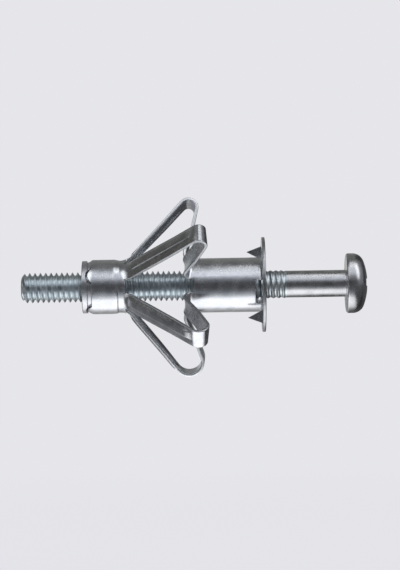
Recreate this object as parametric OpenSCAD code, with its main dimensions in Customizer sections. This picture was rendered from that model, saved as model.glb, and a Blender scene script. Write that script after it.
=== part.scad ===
// Hollow wall anchor, set: a sheet metal sleeve whose five legs have folded
// out behind the board, the captive nut crimped into its far end and the pan
// head screw that pulls them together.
//
// X runs along the screw, towards its head. Z is up, and the front is -Y.
// The origin is on the axis, on the side of the flange that bears on the board.
// A turn about the axis is counted from the front, upwards.

/* [Sleeve] */
// Outer diameter of the sleeve
sleeve_d = 7.12; // [6.2:0.02:9]
// Thickness of the sheet
wall = 0.42; // [0.3:0.02:0.6]
// Unfolded barrel behind the flange, to where the legs start
barrel_len = 9.1; // [5:0.1:20]
// Axial room between barrel and neck that the folded legs span
fold_span = 8.9; // [7:0.1:12]
// Necked band that stops the nut
neck_len = 0.9; // [0.6:0.1:2]
// How far the necked band is drawn in, on the radius
neck_dip = 0.145; // [0.06:0.005:0.3]
// Collar that holds the nut
collar_len = 3.3; // [2.4:0.1:6]

/* [Crimp] */
// Tongues pressed into the nut's groove
tongue_n = 4; // [3:1:6]
// Turn of the first tongue
tongue_turn = 31; // [0:1:90]
// Length of a tongue past the collar
tongue_len = 0.78; // [0.5:0.02:1.2]
// Width of a tongue where it leaves the collar
tongue_w = 2.6; // [2:0.1:3]
// How far a tongue's tip is pressed in
tongue_dip = 0.16; // [0.05:0.01:0.25]

/* [Legs] */
// Number of legs
leg_n = 5; // [4:1:6]
// Turn of the first leg
leg_turn = 36; // [0:1:90]
// Slit between two legs, as a turn about the axis
slit_turn = 27.4; // [15:0.2:36]
// Rise of the two front legs' rear struts from the axis
front_rise = 38.3; // [32:0.1:46]
// Rise of the upper leg's rear strut
upper_rise = 47.6; // [38:0.1:52]
// Rise of the back leg's rear strut
back_rise = 48.6; // [38:0.1:52]
// Rise of the lower leg's rear strut
lower_rise = 50; // [38:0.1:52]
// Lean of the two front legs' board struts, towards the board
front_lean = 22; // [4:0.1:26]
// Lean of the upper leg's board strut
upper_lean = 9.6; // [4:0.1:26]
// Lean of the back leg's board strut
back_lean = 9; // [4:0.1:26]
// Lean of the lower leg's board strut
lower_lean = 8.4; // [4:0.1:26]
// Radius of the bend at the neck, to the middle of the sheet
neck_bend = 0.6; // [0.4:0.05:1.2]
// Radius of the front legs' folds
front_fold = 0.55; // [0.4:0.05:1.2]
// Radius of the other legs' folds
rear_fold = 0.95; // [0.4:0.05:1.2]
// Radius of the bend at the barrel
barrel_bend = 0.75; // [0.5:0.05:1]
// Width of the stiffening groove along a rear strut
bead_w = 0.8; // [0.4:0.05:1.2]
// Depth of the stiffening groove
bead_depth = 0.12; // [0.02:0.02:0.2]

/* [Flange] */
// Diameter of the flange
flange_d = 12.4; // [11:0.1:18]
// Fillet between barrel and flange, on the board side
flange_fillet = 0.45; // [0.2:0.05:0.8]
// Middle of the first neck window, as a turn about the axis
window_turn = -17.5; // [-40:0.5:40]
// Width of a neck window, as a turn about the axis
window_span = 55; // [30:1:70]
// Turn of the first prong
prong_turn = -58; // [-70:1:-50]
// How far a prong stands out into the board
prong_len = 2.03; // [1:0.01:3]

/* [Nut] */
// Running clearance between the screw and the nut's bore, on the radius
thread_clear = 0.04; // [0.02:0.01:0.08]
// Clearance between nut and collar, on the radius
nut_clear = 0.02; // [0.01:0.01:0.04]
// How far the nut's end ring stays under the sleeve, on the radius
ring_dip = 0.13; // [0.05:0.01:0.3]
// Width of the nut's end ring
ring_w = 0.44; // [0.3:0.02:1]

/* [Screw] */
// Diameter over the thread
screw_d = 3.95; // [3.4:0.05:4.2]
// How far the rolled thread stands above the plain shank
thread_rise = 0.21; // [0.1:0.01:0.3]
// Length under the head
screw_len = 42.5; // [36:0.5:60]
// Threaded length
thread_len = 34.7; // [28:0.1:36]
// Chamfer at the tip
tip_chamfer = 0.4; // [0.1:0.05:0.8]
// From the flange's board side to the underside of the head
head_gap = 11; // [9:0.1:30]
// Head diameter
head_d = 7.86; // [7.2:0.02:9]
// Head height
head_h = 2.81; // [2.4:0.01:4]
// Radius of the head's dome
dome_r = 8.5; // [7:0.1:12]
// Radius between dome and side
dome_corner_r = 1.1; // [0.6:0.05:1.2]
// Radius between side and underside
under_r = 0.75; // [0.2:0.05:0.9]
// Span of the cross recess over two wings
recess_d = 4.4; // [3:0.1:4.8]
// Width of a recess wing
recess_w = 0.85; // [0.6:0.05:1]
// Depth of the cross recess
recess_depth = 1.9; // [1:0.1:2.2]
// Turn of the cross recess
recess_turn = 20; // [0:1:90]

/* [Hidden] */
$fn = 96;

steel = [0.72, 0.74, 0.77];
nut_steel = [0.62, 0.64, 0.68];
screw_steel = [0.68, 0.71, 0.76];

eps = 0.01;
sleeve_r = sleeve_d / 2;
bore_r = sleeve_r - wall;
neck_r = sleeve_r - neck_dip;
flange_r = flange_d / 2;

// Places along the axis
barrel_end = -barrel_len;
neck_end = barrel_end - fold_span;
collar_end = neck_end - neck_len;
sleeve_end = collar_end - collar_len;
groove_end = sleeve_end - tongue_len - 2 * nut_clear;
nut_end = groove_end - ring_w;
head_x = head_gap;
shank_x = head_x - screw_len + thread_len;
tip_x = head_x - screw_len;

// Radii of the screw and the nut
screw_r = screw_d / 2;
shank_r = screw_r - thread_rise;
nut_r = bore_r - nut_clear;
ring_r = sleeve_r - ring_dip;
groove_r = bore_r - tongue_dip - nut_clear;
nut_bore_r = screw_r + thread_clear;

// Rise, lean and fold radius of leg i, counted round from the first: the first
// and the last are the front ones
function leg_shape(i) =
    i == 0 || i == leg_n - 1 ? [front_rise, front_lean, front_fold] :
    i == 1 ? [upper_rise, upper_lean, rear_fold] :
    i == leg_n - 2 ? [lower_rise, lower_lean, rear_fold] :
    [back_rise, back_lean, rear_fold];

// ---- The folded leg's line, as [x, radius, direction] ----

leg_lap = 0.3;
leg_sink = 0.015;
leg_arc = 360 / leg_n - slit_turn;
mid_r = sleeve_r - wall / 2;
leg_w = mid_r * leg_arc * PI / 180;
leg_t = wall - 2 * leg_sink;

function go(p, len) = [p[0] + len * cos(p[2]), p[1] + len * sin(p[2]), p[2]];

function bent(p, turn, r) =
    let (s = sign(turn), a = p[2] + turn)
    [p[0] + s * r * (sin(a) - sin(p[2])), p[1] - s * r * (cos(a) - cos(p[2])), a];

function bend_line(p, turn, r, steps) =
    [for (i = [1 : steps]) bent(p, turn * i / steps, r)];

// Lengths of the two straight struts that close the leg between neck and barrel
function strut_lengths(rise, lean, fold_r) =
    let (
        back = 90 + lean,
        p0 = [neck_end, neck_r - wall / 2, 0],
        p1 = bent(p0, rise, neck_bend),
        p2 = bent(p1, -rise - back, fold_r),
        p3 = bent(p2, back, barrel_bend),
        miss = [barrel_end - p3[0], mid_r - p3[1]],
        u1 = [cos(rise), sin(rise)],
        u2 = [cos(back), -sin(back)],
        det = u1[0] * u2[1] - u1[1] * u2[0]
    )
    [(miss[0] * u2[1] - miss[1] * u2[0]) / det, (u1[0] * miss[1] - u1[1] * miss[0]) / det];

// Every station adds how round the sheet is across (1 as rolled, 0 flat)
// and how deep its groove is (1 full)
function leg_stations(rise, lean, fold_r) =
    let (
        back = 90 + lean,
        len = strut_lengths(rise, lean, fold_r),
        start = [neck_end, neck_r - wall / 2, 0],
        rear = bend_line(start, rise, neck_bend, 3),
        fold_at = go(rear[2], len[0]),
        fold = bend_line(fold_at, -rise - back, fold_r, 8),
        front = go(fold[7], len[1]),
        foot = bend_line(front, back, barrel_bend, 6)
    )
    concat(
        [concat(go(start, -leg_lap), [1, 0]), concat(start, [1, 0])],
        [for (p = rear) concat(p, [1, 0])],
        [for (k = [0.06, 0.14, 0.45, 0.7, 0.8])
            concat(go(rear[2], len[0] * k), [k < 0.7 ? 1 : 0.75, k < 0.1 || k > 0.75 ? 0 : 1])],
        [concat(fold_at, [0.15, 0])],
        [for (p = fold) concat(p, [0, 0])],
        [for (k = [0.3, 0.6, 1]) concat(go(fold[7], len[1] * k), [k, 0])],
        [for (p = foot) concat(p, [1, 0])],
        [concat(go(foot[5], leg_lap), [1, 0])]
    );

// Half of the section's stations across the sheet, mirrored for the other half
half_across = [bead_w / 4, bead_w / 2, (leg_w / 2 + bead_w / 2) / 2, leg_w / 2];
across = concat([for (i = [3 : -1 : 0]) -half_across[i]], [0], half_across);

function groove_at(u) = abs(u) < bead_w / 2 ? (1 + cos(360 * u / bead_w)) / 2 : 0;

// One point of the sheet: side is 1 for its outer face and -1 for its inner face
function sheet_point(s, u, side) =
    let (
        curl = u / mid_r * s[3] * 180 / PI,
        flat_r = s[3] > 0 ? mid_r / s[3] : 0,
        y = s[3] > 0 ? flat_r * sin(curl) : u,
        n = (s[3] > 0 ? flat_r * (cos(curl) - 1) : 0) - bead_depth * s[4] * groove_at(u),
        yy = y + side * leg_t / 2 * sin(curl),
        nn = n + side * leg_t / 2 * cos(curl)
    )
    [s[0] - nn * sin(s[2]), yy, s[1] + nn * cos(s[2])];

module leg(shape) {
    stations = leg_stations(shape[0], shape[1], shape[2]);
    last = len(across) - 1;
    ring = 2 * len(across);
    rings = len(stations);
    points = [for (s = stations)
        each concat(
            [for (u = across) sheet_point(s, u, 1)],
            [for (i = [last : -1 : 0]) sheet_point(s, across[i], -1)]
        )];
    sides = [for (i = [0 : rings - 2], j = [0 : ring - 1])
        [i * ring + j, i * ring + (j + 1) % ring, (i + 1) * ring + (j + 1) % ring, (i + 1) * ring + j]];
    first_cap = [for (j = [0 : last - 1]) [j, ring - 1 - j, ring - 2 - j, j + 1]];
    end = (rings - 1) * ring;
    last_cap = [for (j = [0 : last - 1]) [end + j, end + j + 1, end + ring - 2 - j, end + ring - 1 - j]];
    polyhedron(points, concat(sides, first_cap, last_cap), convexity = 6);
}

// Turns what is built about +Z to a turn counted from the front
module at_turn(turn) {
    rotate([90 - turn, 0, 0]) children();
}

// Revolves a profile drawn as [distance along the axis, radius] about the X axis
module around_axis(angle = 360) {
    rotate([0, 90, 0]) rotate([0, 0, 180]) rotate_extrude(angle = angle) mirror([1, -1]) children();
}

// ---- Sleeve ----

module tube_profile(from, to, r) {
    translate([from, r - wall]) square([to - from, wall]);
}

// Flare and flange in section
module flare_profile() {
    outer_turn = flange_fillet + wall;
    translate([0, sleeve_r + flange_fillet])
        square([wall, flange_r - sleeve_r - flange_fillet]);
    intersection() {
        translate([-flange_fillet, sleeve_r + flange_fillet]) difference() {
            circle(r = outer_turn);
            circle(r = flange_fillet);
        }
        translate([-flange_fillet, bore_r]) square([outer_turn, outer_turn]);
    }
}

// A slit's round end, cut straight through one wall. Its straight part is a
// hair narrower than its round end, so that the two outlines cross cleanly.
module slit(from, to) {
    slit_w = 2 * sleeve_r * sin(slit_turn / 2);
    straight_w = slit_w - eps;
    translate([0, 0, bore_r / 2]) linear_extrude(sleeve_r) {
        translate([to, 0]) circle(d = slit_w);
        translate([min(from, to), -straight_w / 2]) square([abs(to - from), straight_w]);
    }
}

module slits(from, to) {
    for (i = [0 : leg_n - 1])
        at_turn(leg_turn + (i + 0.5) * 360 / leg_n) slit(from, to);
}

// The collar's tongue: a dipped strip of sheet with a round end
module tongue() {
    round_r = (tongue_w * tongue_w / 4 + tongue_len * tongue_len) / (2 * tongue_len);
    tip = sleeve_end - tongue_len;
    intersection() {
        around_axis()
            polygon([
                [sleeve_end + leg_lap, sleeve_r - eps],
                [sleeve_end, sleeve_r - eps],
                [tip - eps, sleeve_r - tongue_dip],
                [tip - eps, bore_r - tongue_dip],
                [sleeve_end, bore_r + eps],
                [sleeve_end + leg_lap, bore_r + eps]
            ]);
        translate([0, 0, bore_r / 2]) linear_extrude(sleeve_r) intersection() {
            translate([tip + round_r, 0]) circle(r = round_r);
            translate([tip - eps, -tongue_w / 2]) square([tongue_len + leg_lap / 2, tongue_w]);
        }
    }
}

// Collar, the step down to the neck, and the neck to where the legs leave it
module collar() {
    difference() {
        around_axis()
            polygon([
                [sleeve_end, sleeve_r],
                [collar_end, sleeve_r],
                [collar_end + neck_dip, neck_r],
                [neck_end + leg_lap / 2, neck_r],
                [neck_end + leg_lap / 2, neck_r - wall],
                [collar_end + neck_dip, neck_r - wall],
                [collar_end, bore_r],
                [sleeve_end, bore_r]
            ]);
        slits(neck_end + wall, neck_end + neck_len - wall / 2);
    }
    for (i = [0 : tongue_n - 1])
        at_turn(tongue_turn + i * 360 / tongue_n) tongue();
}

// The tooth that is bent out of the flange, its root along a radius
module prong() {
    rotate([90, 0, 0]) linear_extrude(wall)
        polygon([
            [wall / 2, sleeve_r],
            [wall / 2, flange_r - wall / 2],
            [0, flange_r - wall / 2],
            [-prong_len, (sleeve_r + flange_r) / 2],
            [0, sleeve_r]
        ]);
}

// The gap that the tooth leaves in the flange, on the side it was bent from
module prong_gap() {
    translate([-flange_fillet, 0, 0]) rotate([0, 90, 0]) linear_extrude(flange_fillet + 2 * wall)
        polygon([
            [-bore_r, 0],
            [-flange_r + wall, 0],
            [-(sleeve_r + flange_r) / 2, prong_len],
            [-bore_r, prong_len / 2]
        ]);
}

// The window left in the flare between two necks
module neck_window() {
    half = window_span / 2;
    reach = sleeve_r + flange_fillet + wall / 2;
    translate([-flange_fillet - wall, 0, 0]) rotate([0, 90, 0])
        linear_extrude(flange_fillet + 3 * wall)
            polygon([
                [0, 0],
                [-reach * cos(half), -reach * sin(half)],
                [-reach, 0],
                [-reach * cos(half), reach * sin(half)]
            ]);
}

// The straight barrel, slit between the feet of the legs
module barrel() {
    difference() {
        around_axis() tube_profile(barrel_end - leg_lap / 2, -flange_fillet, sleeve_r);
        slits(barrel_end - 2 * wall, barrel_end + wall / 2);
        for (half_turn = [0, 180])
            at_turn(window_turn + half_turn) neck_window();
    }
}

// The flange and the flare that carries it
module flange() {
    difference() {
        around_axis() flare_profile();
        for (half_turn = [0, 180]) {
            at_turn(window_turn + half_turn) neck_window();
            at_turn(prong_turn + half_turn) prong_gap();
        }
    }
    for (half_turn = [0, 180])
        at_turn(prong_turn + half_turn) prong();
}

module sleeve() {
    color(steel) {
        barrel();
        flange();
        collar();
        for (i = [0 : leg_n - 1])
            at_turn(leg_turn + i * 360 / leg_n) leg(leg_shape(i));
    }
}

// ---- Captive nut ----

module captive_nut() {
    front = collar_end - nut_clear;
    color(nut_steel) around_axis()
        polygon([
            [nut_end, nut_bore_r],
            [nut_end, ring_r],
            [groove_end, ring_r],
            [groove_end, groove_r],
            [sleeve_end, groove_r],
            [sleeve_end, nut_r],
            [front, nut_r],
            [front, nut_bore_r]
        ]);
}

// ---- Screw ----

// Pan head in section, drawn from its underside at 0
module head_profile() {
    head_r = head_d / 2;
    dome_x = head_h - dome_r;
    corner_y = head_r - dome_corner_r;
    corner_x = dome_x + sqrt(pow(dome_r - dome_corner_r, 2) - corner_y * corner_y);
    tangent = asin(corner_y / (dome_r - dome_corner_r));
    square([corner_x, head_r - under_r]);
    translate([under_r, 0]) square([corner_x - under_r, head_r]);
    translate([under_r, head_r - under_r]) circle(r = under_r);
    translate([corner_x, corner_y]) circle(r = dome_corner_r);
    intersection() {
        translate([dome_x, 0]) circle(r = dome_r);
        polygon([
            [dome_x, 0],
            [dome_x + 2 * dome_r, 0],
            [dome_x + 2 * dome_r * cos(tangent), 2 * dome_r * sin(tangent)]
        ]);
        square([2 * head_h, head_r]);
    }
}

// Two crossed wings that narrow towards their floor, round a sunk cone
module cross_recess() {
    top = recess_d / 2;
    floor_r = recess_w / 2;
    over = wall;
    slope = (top - floor_r) / recess_depth;
    for (turn = [0 : 90 : 270])
        at_turn(recess_turn + turn)
            translate([0, recess_w / 2, 0]) rotate([90, 0, 0]) linear_extrude(recess_w)
                polygon([
                    [-recess_depth, 0],
                    [-recess_depth, floor_r],
                    [over, top + over * slope],
                    [over, 0]
                ]);
    rotate([0, 90, 0]) translate([0, 0, -recess_depth])
        cylinder(r1 = floor_r, r2 = top * 0.62, h = recess_depth + over);
}

module machine_screw() {
    color(screw_steel) {
        around_axis() polygon([
            [tip_x, 0],
            [tip_x, screw_r - tip_chamfer],
            [tip_x + tip_chamfer, screw_r],
            [shank_x, screw_r],
            [shank_x, shank_r],
            [head_x + under_r, shank_r],
            [head_x + under_r, 0]
        ]);
        translate([head_x, 0, 0]) difference() {
            around_axis() head_profile();
            translate([head_h, 0, 0]) cross_recess();
        }
    }
}

sleeve();
captive_nut();
machine_screw();
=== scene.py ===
from math import asin, atan2, ceil, copysign, cos, degrees, hypot, pi, radians, sin, sqrt

import bmesh
import bpy
from mathutils import Matrix, Vector, noise


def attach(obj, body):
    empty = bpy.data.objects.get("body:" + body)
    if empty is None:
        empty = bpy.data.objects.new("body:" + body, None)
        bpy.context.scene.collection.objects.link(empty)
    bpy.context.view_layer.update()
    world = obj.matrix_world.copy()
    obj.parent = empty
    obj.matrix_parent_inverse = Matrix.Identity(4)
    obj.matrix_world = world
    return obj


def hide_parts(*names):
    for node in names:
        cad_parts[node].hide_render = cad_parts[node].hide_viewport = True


# A set hollow wall anchor: rolled sheet sleeve with five folded legs, crimped
# nut and pan head screw. Sizes are in mm until finishPiece turns them to metres.
# A turn is counted about the screw's axis, from the front (-Y) upwards.

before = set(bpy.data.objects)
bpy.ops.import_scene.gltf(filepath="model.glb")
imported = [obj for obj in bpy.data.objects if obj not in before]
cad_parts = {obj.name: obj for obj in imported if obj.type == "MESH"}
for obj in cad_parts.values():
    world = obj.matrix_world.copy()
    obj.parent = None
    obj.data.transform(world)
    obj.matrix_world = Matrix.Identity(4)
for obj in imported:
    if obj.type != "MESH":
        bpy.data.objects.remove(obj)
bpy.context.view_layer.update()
print("frame loaded")

mm = 0.001
weld = 1e-4  # points closer than this are one point
tiny = 1e-3  # anything less counts as nothing
fullTurn = {"cent": (0, 0, 0), "axis": (1, 0, 0), "angle": 2 * pi}


def atTurn(x, radial, across, turnDeg):
    turn = radians(turnDeg)
    c, s = cos(turn), sin(turn)
    return Vector((x, -c * radial + s * across, s * radial + c * across))


def turnOf(co):
    return degrees(atan2(co.z, -co.y)) % 360


def blendBetween(a, b, t):
    return a + (b - a) * t


def easeStep(low, high, value):
    t = min(1.0, max(0.0, (value - low) / (high - low)))
    return t * t * (3 - 2 * t)


def turnApart(a, b):
    return (a - b + 180) % 360 - 180


def hexColor(text):
    parts = [int(text[i:i + 2], 16) / 255 for i in (0, 2, 4)]
    return tuple(p / 12.92 if p <= 0.04045 else ((p + 0.055) / 1.055) ** 2.4 for p in parts) + (1.0,)


def addNode(tree, kind, settings=None, links=None):
    node = tree.nodes.new(kind)
    for key, value in (settings or {}).items():
        if isinstance(key, int) or key in node.inputs:
            node.inputs[key].default_value = value
        else:
            setattr(node, key, value)
    for key, source in (links or {}).items():
        tree.links.new(source, node.inputs[key])
    return node


def rangeOf(places, levels):
    return {"From Min": places[0], "From Max": places[1], "To Min": levels[0], "To Max": levels[1]}


def emptyTree(owner):
    owner.use_nodes = True
    owner.node_tree.nodes.clear()
    return owner.node_tree


def putInScene(name, data):
    thing = bpy.data.objects.new(name, data)
    bpy.context.scene.collection.objects.link(thing)
    return thing


def turnedSolid(outline, steps, closed=False):
    # spins points of (place along the axis, radius) about the axis
    bm = bmesh.new()
    verts = [bm.verts.new((x, -r, 0)) for x, r in outline]
    edges = [bm.edges.new(pair) for pair in zip(verts, verts[1:] + (verts[:1] if closed else []))]
    bmesh.ops.spin(bm, geom=verts + edges, steps=steps, use_merge=True, **fullTurn)
    bmesh.ops.remove_doubles(bm, verts=bm.verts, dist=weld)
    bmesh.ops.recalc_face_normals(bm, faces=bm.faces)
    return bm


def finishPiece(bm, name, materials, body, node=None, sharpDeg=40):
    bm.transform(Matrix.Scale(mm, 4))
    mesh = bpy.data.meshes.new(name)
    bm.to_mesh(mesh)
    bm.free()
    for material in materials:
        mesh.materials.append(material)
    mesh.shade_smooth()
    if sharpDeg:
        mesh.set_sharp_from_angle(angle=radians(sharpDeg))
    piece = putInScene(name, mesh)
    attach(piece, body)
    if node:
        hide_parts(node)
    print(name, "made with", len(mesh.polygons), "faces")
    return piece


# what all the zinc finishes share: how each noise is built and which part of it shows
plating = {
    "cloudDetail": 4.0, "cloudRoughness": 0.6, "cloudRange": (0.3, 0.62),
    "grainDetail": 3.0, "grainRoughness": 0.7,
    "streakDetail": 3.0, "streakRoughness": 0.55, "streakRange": (0.35, 0.65),
    "roughRange": (0.3, 0.7), "bumpDepth": 0.3,
}


def zincPlate(name, values):
    material = bpy.data.materials.new(name)
    tree = emptyTree(material)
    coord = addNode(tree, "ShaderNodeTexCoord")
    # Draw lines: short across, long along the part. The sheet's own map is in mm, Object in metres.
    short, long = values["streakMm"], values["streakLongMm"]
    if values["streakOn"] == "UV":
        streakScale = (1 / short, 1 / long, 1)
    else:
        streakScale = (1 / (long * mm), 1 / (short * mm), 1 / (short * mm))
    stretch = addNode(tree, "ShaderNodeMapping", {"Scale": streakScale},
                      {"Vector": coord.outputs[values["streakOn"]]})
    # Clouds where the plating took unevenly, the grain of the plating, and the draw lines. Grain and
    # lines are drawn coarser than real ones, so that they show.
    noises = {"cloud": (1 / (values["cloudMm"] * mm), coord.outputs["Object"]),
              "grain": (1 / (values["grainMm"] * mm), coord.outputs["Object"]),
              "streak": (1.0, stretch.outputs[0])}
    for kind, (scale, source) in noises.items():
        found = addNode(tree, "ShaderNodeTexNoise",
                        {"Scale": scale, "Detail": plating[kind + "Detail"],
                         "Roughness": plating[kind + "Roughness"]}, {"Vector": source})
        noises[kind] = found.outputs["Fac"]
    tint = addNode(tree, "ShaderNodeValToRGB", None, {"Fac": noises["cloud"]})
    for stop, place, shade in zip(tint.color_ramp.elements, plating["cloudRange"], ("dull", "bright")):
        stop.position = place
        stop.color = hexColor(values[shade])
    streakTint = addNode(tree, "ShaderNodeMapRange",
                         rangeOf(plating["streakRange"], (1 - values["streakDark"], 1.0)),
                         {"Value": noises["streak"]})
    color = addNode(tree, "ShaderNodeVectorMath", {"operation": "SCALE"},
                    {0: tint.outputs["Color"], "Scale": streakTint.outputs["Result"]})
    rough = addNode(tree, "ShaderNodeMapRange", rangeOf(plating["roughRange"], values["rough"]),
                    {"Value": noises["cloud"]})
    roughGrain = addNode(tree, "ShaderNodeMath", {"operation": "MULTIPLY_ADD", 1: values["grainRough"]},
                         {0: noises["grain"], 2: rough.outputs["Result"]})
    bumpGrain = addNode(tree, "ShaderNodeBump",
                        {"Strength": values["grainBump"],
                         "Distance": values["grainMm"] * mm * plating["bumpDepth"]},
                        {"Height": noises["grain"]})
    bumpStreak = addNode(tree, "ShaderNodeBump",
                         {"Strength": values["streakBump"],
                          "Distance": values["streakMm"] * mm * plating["bumpDepth"]},
                         {"Height": noises["streak"], "Normal": bumpGrain.outputs["Normal"]})
    shader = addNode(tree, "ShaderNodeBsdfPrincipled", {"Metallic": 1.0},
                     {"Base Color": color.outputs["Vector"], "Roughness": roughGrain.outputs["Value"],
                      "Normal": bumpStreak.outputs["Normal"]})
    addNode(tree, "ShaderNodeOutputMaterial", None, {"Surface": shader.outputs[0]})
    return material


# Bright zinc on cold rolled strip: a blue-white mirror, a little milky, with faint draw lines.
sheetZinc = zincPlate("brightZincOnRolledSheet", {
    "bright": "E8EAEE", "dull": "D4D7DD", "cloudMm": 1.3, "grainMm": 0.16,
    "streakOn": "UV", "streakMm": 0.16, "streakLongMm": 5.0, "streakDark": 0.06, "streakBump": 0.04,
    "rough": (0.16, 0.26), "grainRough": 0.08, "grainBump": 0.12,
})
punchedEdge = {
    "cloudMm": 0.5, "grainMm": 0.1, "grainRough": 0.06, "grainBump": 0.08,
    "streakOn": "Object", "streakMm": 0.1, "streakLongMm": 0.6, "streakDark": 0.06, "streakBump": 0.05,
}
# Punched edges of the same strip: torn grain under the zinc, so greyer and rougher.
edgeZinc = zincPlate("zincOnShearedEdge", {
    **punchedEdge, "bright": "C6C9CD", "dull": "AEB1B6", "rough": (0.26, 0.36)})
# The same punched edge with a painted highlight: a lit copy of its finish, brighter than the face beside it.
edgeZincWithPaintedHighlight = zincPlate("zincOnEdgeWithPaintedHighlight", {
    **punchedEdge, "bright": "F0F2F4", "dull": "DEE0E4", "rough": (0.24, 0.32)})
# Zinc on free cutting steel: duller than the sheet, with the fine rings that the tool left.
nutZinc = zincPlate("zincOnTurnedSteel", {
    "bright": "E9EBEF", "dull": "D3D5DA", "cloudMm": 0.9, "grainMm": 0.08,
    "streakOn": "Object", "streakMm": 0.5, "streakLongMm": 0.07, "streakDark": 0.12, "streakBump": 0.1,
    "rough": (0.24, 0.36), "grainRough": 0.08, "grainBump": 0.1,
})
# Zinc on a rolled thread: bluer and more matt than the sheet.
threadZinc = zincPlate("blueZincOnRolledThread", {
    "bright": "E9F1F5", "dull": "C9D3D9", "cloudMm": 0.7, "grainMm": 0.08,
    "streakOn": "Object", "streakMm": 0.3, "streakLongMm": 0.1, "streakDark": 0.08, "streakBump": 0.06,
    "rough": (0.27, 0.38), "grainRough": 0.06, "grainBump": 0.1,
})
# Zinc on cold headed wire, for shank and head: a soft, slightly scuffed shine with lines along the wire.
shankZinc = zincPlate("scuffedZincOnColdHeadedSteel", {
    "bright": "DCDDE0", "dull": "C4C5C9", "cloudMm": 1.1, "grainMm": 0.1,
    "streakOn": "Object", "streakMm": 0.12, "streakLongMm": 2.0, "streakDark": 0.08, "streakBump": 0.06,
    "rough": (0.2, 0.3), "grainRough": 0.06, "grainBump": 0.1,
})
print("materials made")


# The sleeve is one strip of sheet: a flat grid that is rolled, folded and flared.
sheet = {
    "radius": 3.56, "thickness": 0.42, "bevel": 0.08, "bevelRows": 2,
    "waver": 0.008, "waverScales": (0.45, 1.3), "waverShift": (7, 3, 1), "waverFine": 0.5,
    "barrelEnd": -9.1, "collarEnd": -18.98, "collarStart": -22.2, "neckDip": 0.145, "neckGrow": 2.0,
    # the last key names the legs whose cut edges carry a painted highlight
    "legTurns": [36, 108, 180, 252, 324], "slitTurn": 27.4, "legsWithPaintedEdgeHighlight": (1, 3),
    # Rise of the rear strut and lean of the board strut, radius of the fold, sideways sway and twist at the
    # fold, then where the leg starts and how softly it bends there. The first values of the legs at 36, 108,
    # 252 and 324 came from a least squares fit to their outlines. Some were changed since.
    "legShapes": [
        {"rise": 41.3, "lean": 22.9, "fold": 0.88, "sway": 0.0, "twist": -4.5, "start": -18.6, "bend": 2.39},
        {"rise": 47.4, "lean": 12.9, "fold": 1.06, "sway": 0.4, "twist": -5.0, "start": -18.6, "bend": 2.28},
        {"rise": 48.0, "lean": 12.0, "fold": 1.0, "sway": 0.0, "twist": 0.0, "start": -18.3, "bend": 1.6},
        {"rise": 51.6, "lean": 20.0, "fold": 1.85, "sway": 2.3, "twist": -3.0, "start": -18.3, "bend": 1.6},
        {"rise": 42.9, "lean": 24.0, "fold": 1.12, "sway": -0.3, "twist": 6.0, "start": -18.3, "bend": 1.6},
    ],
    "barrelBend": 0.75, "legSwell": 0.07, "swayHeight": 8.0,
    "beadPlace": 0.33, "beadWidth": 1.42, "beadTop": 1.0, "beadHeight": 0.213,
    # how round the sheet stays across a leg, and over which share of each zone that and the bead change
    "strutCurl": 0.4, "strutFlatten": 0.3, "strutOpens": (-0.1, 0.2), "strutFlattens": (0.6, 1.0),
    "foldCurl": 0.1, "foldFlattens": (0.0, 0.3), "braceRounds": (0.45, 1.0),
    "beadStarts": (-0.02, 0.04), "beadEnds": (0.9, 1.0),
    "slitRoot": -17.88, "slitRootDepth": 0.2, "slitBarrelReach": 0.06, "slitBarrelDepth": 0.14,
    "rootEnd": -7.4,
    # no crease this near the turn where the collar slopes into the neck
    "slopeTurn": 60, "slopeSpan": 62, "slopeFade": 20, "slopeFrom": -19.25, "slopeTo": -18.58,
    "shoulderDrop": 0.035, "shoulderLength": 0.6,
    "tongueTurns": [26, 116, 206, 296], "tongueLength": 0.5, "tongueWidth": 1.95, "tongueRound": 1.9,
    "tongueDip": 0.17, "tongueDipX": (-21.9, -22.9),
    "flangeRadius": 6.2, "flareRadius": 0.45,
    "windowTurns": [-17.5, 162.5], "windowSpan": 55, "windowStart": -0.87, "windowTop": 4.22,
    "windowSpread": 0.3,
    # each prong: its turn, then foot, head and tip as (away from the axis, sideways from that turn)
    "prongTurns": [-90, 90], "prongFoot": (3.1, 2.7), "prongHead": (5.15, 2.7), "prongTip": (4.3, 0.42),
    "prongBend": 0.25, "prongRows": 4, "prongMargin": 0.3, "hingeMargin": 0.2, "rimMargin": 0.25,
}
legCells, slitCells = 24, 16
cellsPerLeg = legCells + slitCells
slitCrowding = 0.6  # how strongly a slit's columns are drawn to its two sides
collarCrowding = 1.3  # over 1 draws the collar's rows to its free end
rowLength = 0.3  # of a row on the sheet's own map, in mm
zoneCells = {"collar": 16, "step": 3, "neck": 7, "strut": 28, "fold": 22, "brace": 12, "foot": 14, "lap": 2,
             "root": 6, "barrel": 14, "lip": 3, "flare": 9, "sill": 2, "flange": 10}
slitZones = ("strut", "fold", "brace", "foot", "lap")
windowZones = ("lip", "flare", "sill")

midRadius = sheet["radius"] - sheet["thickness"] / 2
neckRadius = midRadius - sheet["neckDip"]
halfPitchDeg = 180 / len(sheet["legTurns"])
halfLegDeg = halfPitchDeg - sheet["slitTurn"] / 2
slitHalf = midRadius * radians(sheet["slitTurn"] / 2)


def makeColumns():
    columns = []  # turn in degrees, leg number, offset from the slit's middle in mm or None
    for number, turn in enumerate(sheet["legTurns"]):
        for k in range(legCells):
            columns.append((turn - halfLegDeg + 2 * halfLegDeg * k / legCells, number, None))
        for k in range(slitCells):
            phase = 2 * k / slitCells - 1
            share = slitCrowding * sin(phase * pi / 2) + (1 - slitCrowding) * phase
            offset = share * slitHalf
            owner = number if offset < 0 else (number + 1) % len(sheet["legTurns"])
            middle = turn + halfPitchDeg
            columns.append((middle + share * sheet["slitTurn"] / 2, owner, None if k == 0 else offset))
    columns.append((columns[0][0] + 360, 0, None))
    return columns


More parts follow.
